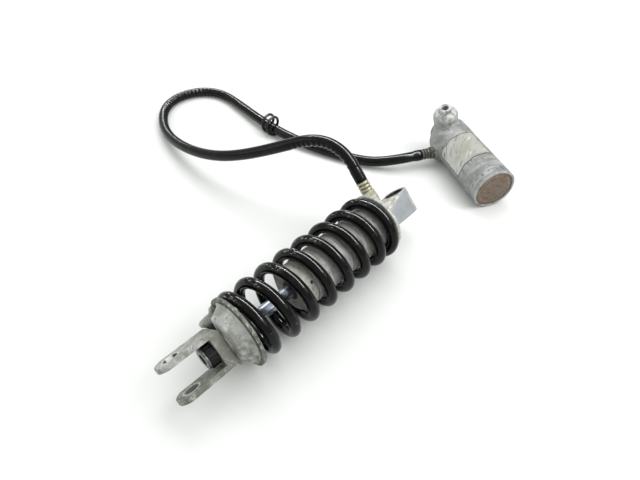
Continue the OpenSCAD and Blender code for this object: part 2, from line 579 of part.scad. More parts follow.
shock_head();
eye_bush();
eye_seals();
damper_tube();
collar();
wiper();
oil_seal();
guide_bush();
seal_head();
seal_o_ring();
spring();
rod();
fork();
lock_nut();
spring_seat();
spring_pad();
bump_washer();
bump_rubber();
stop_plate();
rebound_shims();
piston();
piston_band();
compression_shims();
piston_nut();
detent_ball();
detent_spring();
dial();
dial_ring();
needle();
head_union();
head_ferrule();
hose();
hose_tie();
reservoir_ferrule();
reservoir_union();
reservoir();
bladder();
bladder_cap();
cap_o_ring();
gas_valve();
snap_ring();
end_cover();
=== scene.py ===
import json
import math

import bpy
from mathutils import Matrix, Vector


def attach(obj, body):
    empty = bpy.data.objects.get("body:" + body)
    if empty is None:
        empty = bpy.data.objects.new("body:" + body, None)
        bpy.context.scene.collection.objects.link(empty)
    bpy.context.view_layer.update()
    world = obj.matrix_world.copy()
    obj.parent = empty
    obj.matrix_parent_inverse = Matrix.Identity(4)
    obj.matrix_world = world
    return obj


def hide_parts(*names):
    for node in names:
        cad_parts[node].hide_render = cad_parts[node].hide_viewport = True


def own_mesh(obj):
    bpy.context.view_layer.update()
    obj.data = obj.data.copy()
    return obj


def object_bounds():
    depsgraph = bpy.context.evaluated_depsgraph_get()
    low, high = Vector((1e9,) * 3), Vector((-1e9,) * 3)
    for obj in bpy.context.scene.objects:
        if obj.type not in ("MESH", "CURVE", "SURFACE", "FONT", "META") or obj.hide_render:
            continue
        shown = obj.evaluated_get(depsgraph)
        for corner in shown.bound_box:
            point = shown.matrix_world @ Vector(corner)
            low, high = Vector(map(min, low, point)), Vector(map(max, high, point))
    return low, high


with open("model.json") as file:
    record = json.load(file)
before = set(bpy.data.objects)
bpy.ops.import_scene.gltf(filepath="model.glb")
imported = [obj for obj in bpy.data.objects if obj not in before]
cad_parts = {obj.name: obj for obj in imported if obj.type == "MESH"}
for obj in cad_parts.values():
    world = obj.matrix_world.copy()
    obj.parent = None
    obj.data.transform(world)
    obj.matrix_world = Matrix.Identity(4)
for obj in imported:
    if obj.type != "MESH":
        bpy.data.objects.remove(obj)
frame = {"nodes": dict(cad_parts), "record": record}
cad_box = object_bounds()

nodes = frame["nodes"]

# Head casting
# Flange, neck, eye block and hose port are one aluminium casting that closes the upper end of the damper.
# The sides of the eye are milled and have gone blue-grey, flange and neck keep a stained casting skin.


def patch(colour, size, start, full, stretch=(1, 1, 1), only=None):
    """A stain in clouds of this size, which shows from start to full.
    With only it keeps to the part of the mesh that has this mark."""
    return colour, size, start, full, stretch, only


def grain(size, height, stretch=(1, 1, 1)):
    """Fine relief in the surface, of this size and height."""
    return size, height, stretch


def finish(name, base, rough, patches=(), relief=(), edge=None, hollow=None, metal=0.0, gloss=0.5,
           turn=(0, 0, 0)):
    """A surface with a base colour, patches over it, a roughness that drifts and fine relief.
    The roughness is (low, high, size). The edge and the hollow are (colour, start, full) on outer and inner
    corners, and turn is the direction in which patches and relief are stretched."""
    made = bpy.data.materials.new(name)
    made.use_nodes = True
    tree = made.node_tree
    shader = tree.nodes["Principled BSDF"]
    shader.inputs["Metallic"].default_value = metal
    shader.inputs["Specular IOR Level"].default_value = gloss
    shader.inputs["Base Color"].default_value = (*base, 1)
    place = tree.nodes.new("ShaderNodeTexCoord").outputs["Object"]

    def cloud(size, stretch):
        # Each cloud is shifted, so that no two patches share an outline
        laid = tree.nodes.new("ShaderNodeMapping")
        laid.vector_type = "TEXTURE"
        shift = 0.13 * len(tree.nodes)
        laid.inputs["Location"].default_value = (shift, 0.4 * shift, 0.7 * shift)
        laid.inputs["Rotation"].default_value = turn
        laid.inputs["Scale"].default_value = stretch
        tree.links.new(place, laid.inputs["Vector"])
        noise = tree.nodes.new("ShaderNodeTexNoise")
        noise.inputs["Scale"].default_value = 1 / size
        noise.inputs["Detail"].default_value = 5
        tree.links.new(laid.outputs["Vector"], noise.inputs["Vector"])
        return noise.outputs["Fac"]

    def level(value, start, full, low=0.0, high=1.0):
        scaled = tree.nodes.new("ShaderNodeMapRange")
        for socket, number in (("From Min", start), ("From Max", full), ("To Min", low), ("To Max", high)):
            scaled.inputs[socket].default_value = number
        tree.links.new(value, scaled.inputs["Value"])
        return scaled.outputs["Result"]

    def kept_to(mask, mark_name):
        limit = tree.nodes.new("ShaderNodeAttribute")
        limit.attribute_name = mark_name
        both = tree.nodes.new("ShaderNodeMath")
        both.operation = "MULTIPLY"
        tree.links.new(mask, both.inputs[0])
        tree.links.new(limit.outputs["Fac"], both.inputs[1])
        return both.outputs[0]

    def lay(under, mask, shade):
        # Input 0 of this node is the share, inputs 6 and 7 are the two colours, output 2 is their mix
        mixed = tree.nodes.new("ShaderNodeMix")
        mixed.data_type = "RGBA"
        mixed.inputs[6].default_value = (*base, 1)
        mixed.inputs[7].default_value = (*shade, 1)
        tree.links.new(mask, mixed.inputs[0])
        if under is not None:
            tree.links.new(under, mixed.inputs[6])
        return mixed.outputs[2]

    surface = None
    for colour, size, start, full, stretch, only in patches:
        mask = level(cloud(size, stretch), start, full)
        if only:
            mask = kept_to(mask, only)
        surface = lay(surface, mask, colour)
    for corner in (edge, hollow):
        if corner:
            colour, start, full = corner
            bend = tree.nodes.new("ShaderNodeNewGeometry").outputs["Pointiness"]
            surface = lay(surface, level(bend, start, full), colour)
    if surface is not None:
        tree.links.new(surface, shader.inputs["Base Color"])
    smoothest, roughest, drift_size = rough
    drift = level(cloud(drift_size, (1, 1, 1)), 0.3, 0.7, smoothest, roughest)
    tree.links.new(drift, shader.inputs["Roughness"])
    normal = None
    for size, height, stretch in relief:
        bump = tree.nodes.new("ShaderNodeBump")
        bump.inputs["Distance"].default_value = height
        tree.links.new(cloud(size, stretch), bump.inputs["Height"])
        if normal is not None:
            tree.links.new(normal, bump.inputs["Normal"])
        normal = bump.outputs["Normal"]
    if normal is not None:
        tree.links.new(normal, shader.inputs["Normal"])
    return made


def rounded_off(casting, cell, rounds):
    """Gives a closed mesh small even faces and the rounded corners of a casting."""
    cells = casting.modifiers.new("cells", "REMESH")
    cells.mode = "VOXEL"
    cells.voxel_size = cell
    rounding = casting.modifiers.new("rounding", "SMOOTH")
    rounding.factor = 0.5
    rounding.iterations = rounds
    ready = casting.evaluated_get(bpy.context.evaluated_depsgraph_get())
    rounded = bpy.data.meshes.new_from_object(ready)
    casting.modifiers.clear()
    casting.data = rounded
    rounded.materials.clear()
    rounded.shade_smooth()


def softened(name, node, cell, rounds):
    """A copy of a cast piece with rounded corners."""
    casting = bpy.data.objects.new(name, nodes[node].data.copy())
    casting.matrix_world = nodes[node].matrix_world.copy()
    bpy.context.scene.collection.objects.link(casting)
    rounded_off(casting, cell, rounds)
    return casting


def ramp(value, start, full):
    """0 at start and 1 at full."""
    return (value - start) / (full - start)


def clipped(value):
    """The value, kept from 0 to 1."""
    return max(0.0, min(1.0, value))


def mark(piece, name, amounts):
    """Keeps an amount from 0 to 1 at each point of the mesh, for the patches that keep to this mark."""
    kept = piece.data.attributes.new(name, "FLOAT", "POINT")
    for point, amount in zip(kept.data, amounts):
        point.value = clipped(amount)


def mark_places(piece, name, amount):
    """A mark whose amount follows from the place of the point."""
    mark(piece, name, [amount(piece.matrix_world @ point.co) for point in piece.data.vertices])


def take_place(piece, node, body, material):
    """Puts a dressed piece on its body, in place of a CAD node."""
    piece.data.materials.append(material)
    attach(piece, body)
    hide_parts(node)


eye_turn = math.radians(46)
eye_axis = Vector((0, math.cos(eye_turn), math.sin(eye_turn)))
across_eye = Vector((0, -math.sin(eye_turn), math.cos(eye_turn)))
eye_flat = 0.0137
flat_edge = 0.0006
neck_end = -0.024
neck_edge = 0.004


def on_skin(place):
    on_neck = ramp(place.x, neck_end, neck_end - neck_edge)
    off_flats = ramp(abs(place.dot(across_eye)), eye_flat, eye_flat - flat_edge)
    return max(on_neck, off_flats)


head = softened("head_casting", "shock_head", cell=0.0005, rounds=5)
mark_places(head, "skin", on_skin)
head_alloy = finish("head_alloy", (0.315, 0.33, 0.35), (0.40, 0.52, 0.008),
                    patches=[patch((0.28, 0.295, 0.31), 0.012, 0.48, 0.68),
                             patch((0.52, 0.515, 0.48), 0.006, 0.36, 0.52, only="skin"),
                             patch((0.32, 0.31, 0.25), 0.0040, 0.51, 0.62, only="skin"),
                             patch((0.70, 0.70, 0.68), 0.0024, 0.60, 0.68, only="skin"),
                             patch((0.20, 0.19, 0.16), 0.0015, 0.67, 0.73)],
                    relief=[grain(0.0016, 0.00006)], metal=0.15,
                    edge=((0.66, 0.67, 0.68), 0.53, 0.60), hollow=((0.24, 0.22, 0.18), 0.47, 0.42))
take_place(head, "shock_head", "damper", head_alloy)

# Bush and seals in the eye
# A hard steel bush is pressed into the eye and a rubber lip seal closes each side against dirt.
# Grease has darkened the steel and gathers dust on the rubber.


def dress(material, *names):
    """Gives CAD nodes their material."""
    for name in names:
        nodes[name].material_slots[0].material = material


bush_steel = finish("bush_steel", (0.30, 0.29, 0.28), (0.25, 0.45, 0.003),
                    patches=[patch((0.10, 0.08, 0.06), 0.004, 0.45, 0.65)], metal=1.0)
lip_rubber = finish("lip_rubber", (0.022, 0.022, 0.022), (0.55, 0.75, 0.003),
                    patches=[patch((0.10, 0.095, 0.085), 0.003, 0.52, 0.72)],
                    relief=[grain(0.0008, 0.00004)])
dress(bush_steel, "eye_bush")
dress(lip_rubber, "eye_seals")

# Damper tube and collar
# The oil works in a drawn aluminium tube, closed below by a screwed collar with a pin hole and rubber seals.
# Both were turned on a lathe, so fine rings run round them, and grime has settled in the rings.
ringed = (0.02, 1, 1)
banded = (0.25, 3, 3)
tube_alloy = finish("tube_alloy", (0.36, 0.36, 0.345), (0.40, 0.56, 0.004),
                    patches=[patch((0.25, 0.25, 0.23), 0.008, 0.46, 0.64),
                             patch((0.46, 0.465, 0.455), 0.010, 0.55, 0.75, ringed),
                             patch((0.52, 0.525, 0.51), 0.012, 0.53, 0.63, banded),
                             patch((0.19, 0.185, 0.165), 0.012, 0.54, 0.64, banded),
                             patch((0.16, 0.15, 0.125), 0.004, 0.60, 0.72)],
                    relief=[grain(0.006, 0.00003, ringed)], metal=0.25)
collar_alloy = finish("collar_alloy", (0.40, 0.395, 0.355), (0.40, 0.56, 0.004),
                      patches=[patch((0.28, 0.27, 0.23), 0.006, 0.50, 0.68),
                               patch((0.58, 0.58, 0.555), 0.010, 0.55, 0.75, ringed),
                               patch((0.17, 0.155, 0.13), 0.003, 0.62, 0.72)],
                      relief=[grain(0.006, 0.00003, ringed)], metal=0.25)
dress(tube_alloy, "damper_tube", "seal_head", "piston")
dress(collar_alloy, "collar")
dress(lip_rubber, "wiper", "oil_seal", "seal_o_ring")

# Guide bush, piston pieces and needle
# These run in oil inside the tube: bronze guide, steel plates and shims, a plastic band, a fine needle.
# They stay bright, with only a thin brown film of old oil.
bronze = finish("bronze", (0.52, 0.38, 0.18), (0.28, 0.42, 0.004),
                patches=[patch((0.30, 0.20, 0.09), 0.005, 0.50, 0.70)], metal=1.0)
plain_steel = finish("plain_steel", (0.46, 0.46, 0.46), (0.24, 0.40, 0.004),
                     patches=[patch((0.24, 0.21, 0.18), 0.004, 0.56, 0.72)], metal=1.0)
band_plastic = finish("band_plastic", (0.055, 0.045, 0.035), (0.50, 0.65, 0.003),
                      patches=[patch((0.09, 0.075, 0.06), 0.002, 0.50, 0.70)])
dress(bronze, "guide_bush")
dress(plain_steel, "stop_plate", "rebound_shims", "compression_shims", "piston_nut", "needle")
dress(band_plastic, "piston_band")

# Rod and bump rubber
# The rod is ground steel with hard chrome, with dark bluish and bright streaks painted along it as
# reflections.
# A block of foam rubber on it, with a steel washer below, takes the last of the travel.
reflection_streaks = (60, 1, 1)
# The dark bluish and bright streaks on the rod are painted reflections
rod_chrome = finish("rod_chrome", (0.50, 0.53, 0.575), (0.20, 0.30, 0.006),
                    patches=[patch((0.11, 0.128, 0.165), 0.0040, 0.50, 0.56, reflection_streaks),
                             patch((0.80, 0.82, 0.85), 0.0040, 0.56, 0.62, reflection_streaks)], metal=0.85)
foam = finish("foam", (0.020, 0.020, 0.020), (0.70, 0.85, 0.002),
              patches=[patch((0.06, 0.058, 0.052), 0.004, 0.55, 0.75)],
              relief=[grain(0.0006, 0.00012)])
dress(rod_chrome, "rod")
dress(foam, "bump_rubber")
dress(plain_steel, "bump_washer")

# Spring
# One 10.5 mm steel wire wound in about eight turns, closed at both ends and painted gloss black.
# Stones have chipped the outside of the turns down to grey primer and bare steel.
wire = 0.0105
coil_radius = 0.02975
coil_turns = 8.2
coil_from = -0.21875
coil_to = -0.04275
coil_start = -150
coil_low = coil_from + wire / 2
coil_high = coil_to - wire / 2
coil_pitch = (coil_high - coil_low) / (coil_turns - 1)
coil_rings = 530
wire_sides = 28
end_ring = 0.88
next_ring = 0.97
worn_side = Vector((0, 0.58, 0.81))
worn_span = (0.78, 0.92)
scuff_turn = math.radians(-36)


def rise(t):
    """Pitches climbed t turns from an end: none for a quarter turn, then more and more up to one per turn."""
    if t < 0.25:
        return 0
    return (t - 0.25) ** 2 if t < 0.75 else t - 0.5


def coil_place(t):
    if t < coil_turns / 2:
        return coil_low + coil_pitch * rise(t)
    return coil_high - coil_pitch * rise(coil_turns - t)


def coil_side(t):
    angle = math.radians(coil_start - 360 * t)
    return Vector((0, math.sin(angle), math.cos(angle)))


def shaped(name, points, faces):
    """A smooth piece from its points and faces."""
    mesh = bpy.data.meshes.new(name)
    mesh.from_pydata([tuple(point) for point in points], [], faces)
    mesh.shade_smooth()
    piece = bpy.data.objects.new(name, mesh)
    bpy.context.scene.collection.objects.link(piece)
    return piece


def faces_between(rows, columns, first=0, closed=True, inward=False):
    """The faces between rows of points. A closed row is a ring, and inward faces look the other way."""
    faces = []
    for i in range(rows - 1):
        for j in range(columns if closed else columns - 1):
            a = first + i * columns + j
            b = first + i * columns + (j + 1) % columns
            faces.append((a, a + columns, b + columns, b) if inward else (a, b, b + columns, a + columns))
    return faces


def tube(name, centres, ups, radii, sides, bore=0.0):
    """A round tube through the centres, with ups as the direction of each ring's first point.
    With a bore it is hollow, without one its ends are closed."""
    rings = len(centres)
    last = rings - 1
    points = []
    for inner in ([False, True] if bore else [False]):
        for i, centre in enumerate(centres):
            along = (centres[min(i + 1, last)] - centres[max(i - 1, 0)]).normalized()
            first = (ups[i] - along * ups[i].dot(along)).normalized()
            second = along.cross(first)
            radius = bore / 2 if inner else radii[i]
            for j in range(sides):
                angle = 2 * math.pi * j / sides
                points.append(centre + radius * (math.cos(angle) * first + math.sin(angle) * second))
    faces = faces_between(rings, sides)
    inside = rings * sides
    end = last * sides
    if bore:
        faces += faces_between(rings, sides, first=inside, inward=True)
        for j in range(sides):
            k = (j + 1) % sides
            faces.append((j, inside + j, inside + k, k))
            faces.append((end + j, end + k, inside + end + k, inside + end + j))
    else:
        faces.append(tuple(reversed(range(sides))))
        faces.append(tuple(range(end, end + sides)))
    return shaped(name, points, faces)


coil_at = [coil_turns * i / coil_rings for i in range(coil_rings + 1)]
coil_sides = [coil_side(t) for t in coil_at]
coil_centres = [coil_radius * side + Vector((coil_place(t), 0, 0)) for t, side in zip(coil_at, coil_sides)]
coil_radii = [wire / 2] * len(coil_at)
coil_radii[0] = coil_radii[-1] = end_ring * wire / 2
coil_radii[1] = coil_radii[-2] = next_ring * wire / 2
spring = tube("spring_wire", coil_centres, coil_sides, coil_radii, wire_sides)
crests = [math.cos(2 * math.pi * j / wire_sides) for j in range(wire_sides)]
# Chips fade from 25 to 63 degrees round the wire from its outer side, scuffs from 30 to 58
mark(spring, "outward", [2.2 * crest - 1.0 for side in coil_sides for crest in crests])
mark(spring, "scuff", [clipped(3.0 * crest - 1.6) * clipped(ramp(side.dot(worn_side), *worn_span))
                       for side in coil_sides for crest in crests])
spring_paint = finish("spring_paint", (0.003, 0.0034, 0.0032), (0.08, 0.14, 0.004), gloss=0.16,
                      patches=[patch((0.007, 0.0075, 0.007), 0.006, 0.50, 0.70),
                               patch((0.13, 0.13, 0.125), 0.0022, 0.69, 0.72, only="outward"),
                               patch((0.08, 0.08, 0.076), 0.0040, 0.57, 0.64, (1, 3, 1), "scuff"),
                               patch((0.52, 0.52, 0.51), 0.0012, 0.62, 0.66, (1, 6, 1), "scuff")],
                      relief=[grain(0.0035, 0.00002)], turn=(scuff_turn, 0, 0))
take_place(spring, "spring", "damper", spring_paint)
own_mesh(spring)

# Spring seat and the ring under the spring
# The cast aluminium seat stands on the fork and has a slot to slip it over the rod. The spring presses on a
# steel ring in it. Both are weathered: mottled grey with beige and greenish stains, brighter on the corners.
seat_rim = 0.03125
seat_top = -0.2215
lip_depth = 0.0011
lip_height = 0.0026
lip_edge = 0.0005
shaded_side = Vector((0, -0.80, -0.60))
seat_shade = (-0.004, 0.018)
slot_turn = math.radians(32)
slot_way = Vector((0, math.cos(slot_turn), math.sin(slot_turn)))
slot_side = Vector((0, math.sin(slot_turn), -math.cos(slot_turn)))
slot_half = 0.0070
cheek_inner = 0.0203
cheek_width = 0.0132
cheek_foot = -0.2345
cheek_drop = 0.0030
cheek_end = -0.240
cheek_fade = 0.002
heel_top = -0.2336
heel_fade = 0.001
heel_from = 0.0145
heel_to = 0.0213
heel_radius = 0.0065
heel_centre = (-0.242, 0.0142)
seat_cell = 0.0004
wall_depth = 0.0012
shade_reach = 0.0222
shade_at_lip = 0.0066
shade_fade = 0.0040
bowl_end = -0.2277
lip_start = -0.2253


def heel(out):
    """How far the cheek's heel reaches down along the fork's round shoulder, out from the shock axis."""
    reach = heel_radius ** 2 - (out - heel_centre[1]) ** 2
    return max(cheek_end, heel_centre[0] + math.sqrt(max(0.0, reach)))


def on_lip(place):
    outer = seat_rim - lip_depth
    lower = seat_top - lip_height
    on_rim = ramp(Vector((0, place.y, place.z)).length, outer, outer + lip_edge)
    return min(on_rim, ramp(place.x, lower, lower + lip_edge))


def in_slot(place):
    """Painted shade deep in the slot on the wall of its cheek, reaching further out at the lip than at the
    bowl.
    """
    on_wall = 2 - 2 * abs(place.dot(slot_side) - slot_half) / wall_depth
    shade_to = shade_reach + shade_at_lip * clipped(ramp(place.x, bowl_end, lip_start))
    return min(on_wall, ramp(place.dot(slot_way), shade_to, shade_to - shade_fade))


seat = softened("seat_casting", "spring_seat", seat_cell, rounds=6)
# The cheek beside the slot reaches down to the fork, with a heel along the fork's shoulder
for point in seat.data.vertices:
    out = point.co.dot(slot_way)
    if out > cheek_inner:
        point.co.x -= cheek_drop * clipped(ramp(point.co.x, cheek_foot, cheek_foot - cheek_fade))
    if heel_from < out < heel_to and 0 < point.co.dot(slot_side) < cheek_width:
        near_foot = clipped(ramp(point.co.x, heel_top, heel_top - heel_fade))
        share = near_foot * clipped((out - heel_from) / cheek_fade)
        point.co.x += min(0.0, share * (heel(out) - point.co.x))
rounded_off(seat, seat_cell, rounds=2)
mark_places(seat, "slot", in_slot)
mark_places(seat, "lip", on_lip)
# Painted shade on the lower side of the seat, away from the light
mark_places(seat, "under", lambda place: ramp(place.dot(shaded_side), *seat_shade))
seat_alloy = finish("seat_alloy", (0.40, 0.408, 0.388), (0.40, 0.58, 0.004),
                    patches=[patch((0.29, 0.29, 0.255), 0.010, 0.46, 0.62),
                             patch((0.54, 0.545, 0.525), 0.008, 0.53, 0.68),
                             patch((0.52, 0.505, 0.44), 0.015, 0.58, 0.70),
                             patch((0.24, 0.245, 0.205), 0.0035, 0.56, 0.68),
                             patch((0.70, 0.70, 0.68), 0.0016, 0.63, 0.70),
                             # Painted shade on the lower side, away from the light
                             patch((0.17, 0.17, 0.145), 0.0050, 0.36, 0.60, only="under"),
                             patch((0.085, 0.08, 0.065), 0.0014, 0.66, 0.72),
                             patch((0.47, 0.475, 0.45), 0.0090, 0.44, 0.64, only="lip"),
                             # Painted shade deep in the slot
                             patch((0.040, 0.040, 0.034), 0.0040, 0.15, 0.35, only="slot")],
                    relief=[grain(0.0014, 0.00012), grain(0.0005, 0.00005)], metal=0.2,
                    edge=((0.66, 0.665, 0.65), 0.53, 0.59), hollow=((0.06, 0.055, 0.045), 0.475, 0.43))
take_place(seat, "spring_seat", "rod_group", seat_alloy)
ring_steel = finish("ring_steel", (0.155, 0.168, 0.142), (0.45, 0.65, 0.003),
                    patches=[patch((0.06, 0.064, 0.052), 0.004, 0.46, 0.60),
                             patch((0.32, 0.335, 0.29), 0.0022, 0.54, 0.64),
                             patch((0.54, 0.55, 0.50), 0.0010, 0.64, 0.70)],
                    relief=[grain(0.001, 0.00010)], metal=0.2)
dress(ring_steel, "spring_pad")

# Fork
# The lower end is a cast aluminium fork, screwed onto the rod with a lock nut. Its ears take a 12 mm bolt.
# Years outdoors have left the skin pitted and stained, with bare metal on the corners and round the holes.
mounts = {mount["name"]: mount for mount in frame["record"]["mounts"]}
bolt = Vector(mounts["lower_fork"]["pos_m"])
bolt_radius = mounts["lower_fork"]["dims"]["r_mm"] / 1000
# The bolt is parallel to the eye
bolt_axis = eye_axis
across_bolt = across_eye
faced_radius = 0.00825
faced_edge = 0.0002
hole_edge = 0.0007
ear_side = 0.002
thread_pitch = 0.0015
thread_depth = 0.0003
light_span = (0.80, 0.92)
fork_shade = (0.004, -0.012)
fork_root_shade = (-0.250, -0.245)


def along_bolt(place):
    return (place - bolt).dot(bolt_axis)


def out_from_bolt(place):
    return place - bolt - along_bolt(place) * bolt_axis


def round_bolt(place):
    return math.atan2((place - bolt).dot(across_bolt), place.x - bolt.x)


def on_faced_ring(place):
    radius = out_from_bolt(place).length
    inner = bolt_radius + faced_edge
    return min(ramp(radius, inner, inner + 2 * faced_edge),
               ramp(radius, faced_radius + faced_edge, faced_radius - faced_edge))


def in_bolt_hole(place):
    return ramp(out_from_bolt(place).length, bolt_radius + hole_edge, bolt_radius + faced_edge)


def hole_light_wall(place):
    """Painted light on two sides of the upper ear's hole wall, standing for light that shows through the
    hole.
    """
    light_share = ramp(abs(math.sin(round_bolt(place))), *light_span)
    return min(in_bolt_hole(place), along_bolt(place) / ear_side, light_share)


def thread_wave(place):
    return math.cos(2 * math.pi * along_bolt(place) / thread_pitch + round_bolt(place))


def on_thread(place):
    return min(in_bolt_hole(place), -along_bolt(place) / ear_side, thread_wave(place))


fork = softened("fork_casting", "fork", cell=0.0004, rounds=6)
# The hole in the lower ear has a thread
for point in fork.data.vertices:
    place = fork.matrix_world @ point.co
    if in_bolt_hole(place) > 0 and along_bolt(place) < 0:
        point.co += thread_depth * thread_wave(place) * out_from_bolt(place).normalized()
# Painted shade inside the bolt holes
mark_places(fork, "hole_shade", in_bolt_hole)
mark_places(fork, "thread", on_thread)
mark_places(fork, "hole_light", hole_light_wall)
mark_places(fork, "faced", on_faced_ring)
# Painted shade towards the lower ear, on the side away from the light
mark_places(fork, "under", lambda place: ramp(along_bolt(place), *fork_shade))
# Painted shade at the fork's root, next to the seat
mark_places(fork, "root", lambda place: ramp(place.x, *fork_root_shade))
fork_alloy = finish("fork_alloy", (0.345, 0.35, 0.33), (0.42, 0.62, 0.004),
                    patches=[patch((0.24, 0.24, 0.215), 0.009, 0.46, 0.62),
                             patch((0.50, 0.505, 0.49), 0.006, 0.50, 0.66),
                             patch((0.42, 0.39, 0.30), 0.008, 0.62, 0.74),
                             patch((0.17, 0.17, 0.145), 0.0030, 0.56, 0.68),
                             patch((0.60, 0.605, 0.59), 0.0016, 0.63, 0.70),
                             # Painted shade towards the lower ear, and lighter mottling within that shade
                             patch((0.14, 0.145, 0.12), 0.0060, 0.28, 0.54, only="under"),
                             # Painted shade at the fork's root, next to the seat
                             patch((0.17, 0.17, 0.145), 0.0080, 0.28, 0.50, only="root"),
                             patch((0.36, 0.365, 0.345), 0.0020, 0.60, 0.66, only="under"),
                             patch((0.08, 0.075, 0.062), 0.0014, 0.66, 0.72),
                             patch((0.52, 0.525, 0.50), 0.0020, 0.30, 0.50, only="faced"),
                             # Painted shade inside the bolt holes
                             patch((0.07, 0.067, 0.058), 0.0020, 0.10, 0.35, only="hole_shade"),
                             patch((0.24, 0.24, 0.22), 0.0020, 0.10, 0.30, only="thread"),
                             # Painted light on the walls of the upper ear's hole
                             patch((0.85, 0.85, 0.83), 0.0020, 0.10, 0.30, only="hole_light")],
                    relief=[grain(0.0014, 0.00014), grain(0.0005, 0.00006)], metal=0.2,
                    edge=((0.58, 0.585, 0.57), 0.53, 0.59), hollow=((0.06, 0.055, 0.045), 0.475, 0.43))
take_place(fork, "fork", "rod_group", fork_alloy)
dress(plain_steel, "lock_nut")

# Damping dial
# A black moulded grip between the ears turns the damping needle, and a bright ring clips into its face.
# A sprung steel ball in the fork makes it click. The grip is greasy, with dust in its grooves.
grip_plastic = finish("grip_plastic", (0.004, 0.0042, 0.004), (0.26, 0.46, 0.003), gloss=0.2,
                      patches=[patch((0.03, 0.03, 0.027), 0.003, 0.58, 0.75)],
                      relief=[grain(0.0008, 0.00004)])
clip_steel = finish("clip_steel", (0.22, 0.225, 0.22), (0.30, 0.46, 0.003),
                    patches=[patch((0.09, 0.088, 0.08), 0.003, 0.48, 0.64)], metal=0.6)
dress(grip_plastic, "dial")
dress(clip_steel, "dial_ring")
dress(plain_steel, "detent_ball", "detent_spring")

# Unions and ferrules of the hose
# Both ends have a hexagon union and a crimped ferrule, of yellow zinc at the head and of dark steel at the
# reservoir. A painted highlight lies on the ferrules' ridges, and their dark base colour is painted shade
# in the grooves between them.
hose_bore = 0.006
union_length = 0.006
ferrule_length = 0.0115
ferrule_radius = 0.0067
ferrule_rings = 3
ferrule_steps = 66
ferrule_sides = 32
ring_depth = 0.0012
ridge_roundness = 0.7
upward = Vector((0, 0, 1))
head_way = eye_axis
head_port_x = -0.02935
head_port_out = 0.026
head_port = Vector((head_port_x, 0, 0)) + head_port_out * head_way
hose_start = head_port + (union_length + ferrule_length) * head_way
reservoir_turn = math.radians(62)
reservoir_axis = Vector((math.cos(reservoir_turn), math.sin(reservoir_turn), 0))
reservoir_left = Vector((-math.sin(reservoir_turn), math.cos(reservoir_turn), 0))
reservoir_rim = Vector((0.103, -0.057, -0.0097))
port_along = 0.096
port_out = 0.0265
port_drop = 0.010
reservoir_port = reservoir_rim + port_along * reservoir_axis + port_out * reservoir_left - port_drop * upward
hose_end = reservoir_port + (union_length + ferrule_length) * reservoir_left


def ferrule(name, end, way, material, node):
    """A sleeve squeezed in rings round the end of the hose, with the ridges marked for a painted highlight.
    """
    shares = [i / ferrule_steps for i in range(ferrule_steps + 1)]
    ridges = [abs(math.sin(math.pi * ferrule_rings * share)) ** ridge_roundness for share in shares]
    centres = [end + (share - 1) * ferrule_length * way for share in shares]
    radii = [ferrule_radius - ring_depth * (1 - ridge) for ridge in ridges]
    piece = tube(name, centres, [upward] * len(shares), radii, ferrule_sides, bore=hose_bore)
    ridge_highlight = [ridge ** 2 for ridge in ridges for side in range(ferrule_sides)]
    mark(piece, "ridge", ridge_highlight + ridge_highlight)
    take_place(piece, node, "damper", material)


# Painted highlight on the ridges over a dark base that stands for shade in the grooves
yellow_zinc = finish("yellow_zinc", (0.13, 0.115, 0.075), (0.22, 0.38, 0.003),
                     patches=[patch((0.50, 0.475, 0.33), 0.004, 0.10, 0.30, only="ridge"),
                              patch((0.56, 0.565, 0.49), 0.003, 0.52, 0.64, only="ridge"),
                              patch((0.40, 0.33, 0.17), 0.002, 0.62, 0.72)], metal=0.45)
union_zinc = finish("union_zinc", (0.58, 0.55, 0.40), (0.24, 0.40, 0.003),
                    patches=[patch((0.64, 0.63, 0.55), 0.004, 0.46, 0.62),
                             patch((0.34, 0.28, 0.15), 0.002, 0.60, 0.72)], metal=0.45)
# Painted highlight on the ridges over a dark base that stands for shade in the grooves
grey_steel = finish("grey_steel", (0.022, 0.022, 0.019), (0.26, 0.44, 0.003),
                    patches=[patch((0.115, 0.114, 0.10), 0.004, 0.10, 0.30, only="ridge"),
                             patch((0.42, 0.42, 0.38), 0.003, 0.58, 0.66, only="ridge")], metal=0.4)
black_steel = finish("black_steel", (0.10, 0.10, 0.088), (0.30, 0.50, 0.003),
                     patches=[patch((0.34, 0.335, 0.30), 0.003, 0.54, 0.66)], metal=0.4)
ferrule("head_sleeve", hose_start, head_way, yellow_zinc, "head_ferrule")
ferrule("reservoir_sleeve", hose_end, reservoir_left, grey_steel, "reservoir_ferrule")
dress(union_zinc, "head_union")
dress(black_steel, "reservoir_union")

